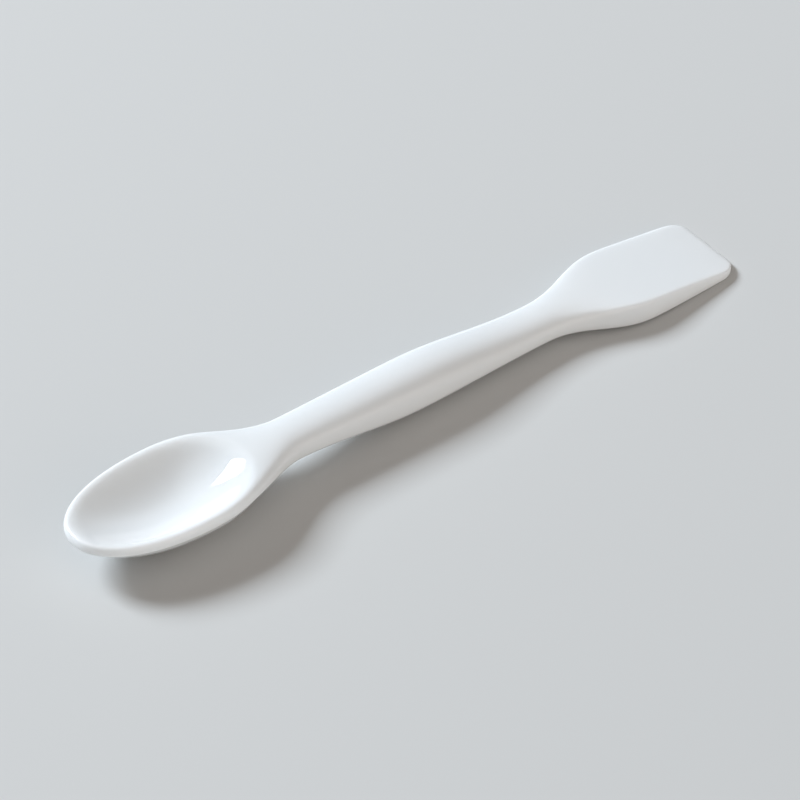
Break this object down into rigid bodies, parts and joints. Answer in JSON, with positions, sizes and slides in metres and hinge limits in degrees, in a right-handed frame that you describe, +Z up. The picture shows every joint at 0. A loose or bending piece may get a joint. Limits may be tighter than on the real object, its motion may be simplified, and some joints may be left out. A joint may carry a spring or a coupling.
{
  "type": "lab spatula",
  "caption": "Glazed porcelain lab spatula with an oval spoon bowl opposite a flat tapered blade, joined by a slim oval grip, for scooping, scraping and stirring.",
  "frame": {"origin": "middle of the footprint, on the bench that the belly of the bowl and the end of the blade touch", "axes": "+X along the length from the bowl to the blade, +Y across it, +Z up out of the open bowl"},
  "size_m": [0.15, 0.0242, 0.0098],
  "materials": {
    "porcelain": "clear glossy glaze over smooth cool-white porcelain"
  },
  "bodies": {
    "root": {"spatula": "porcelain"}
  },
  "joints": []
}
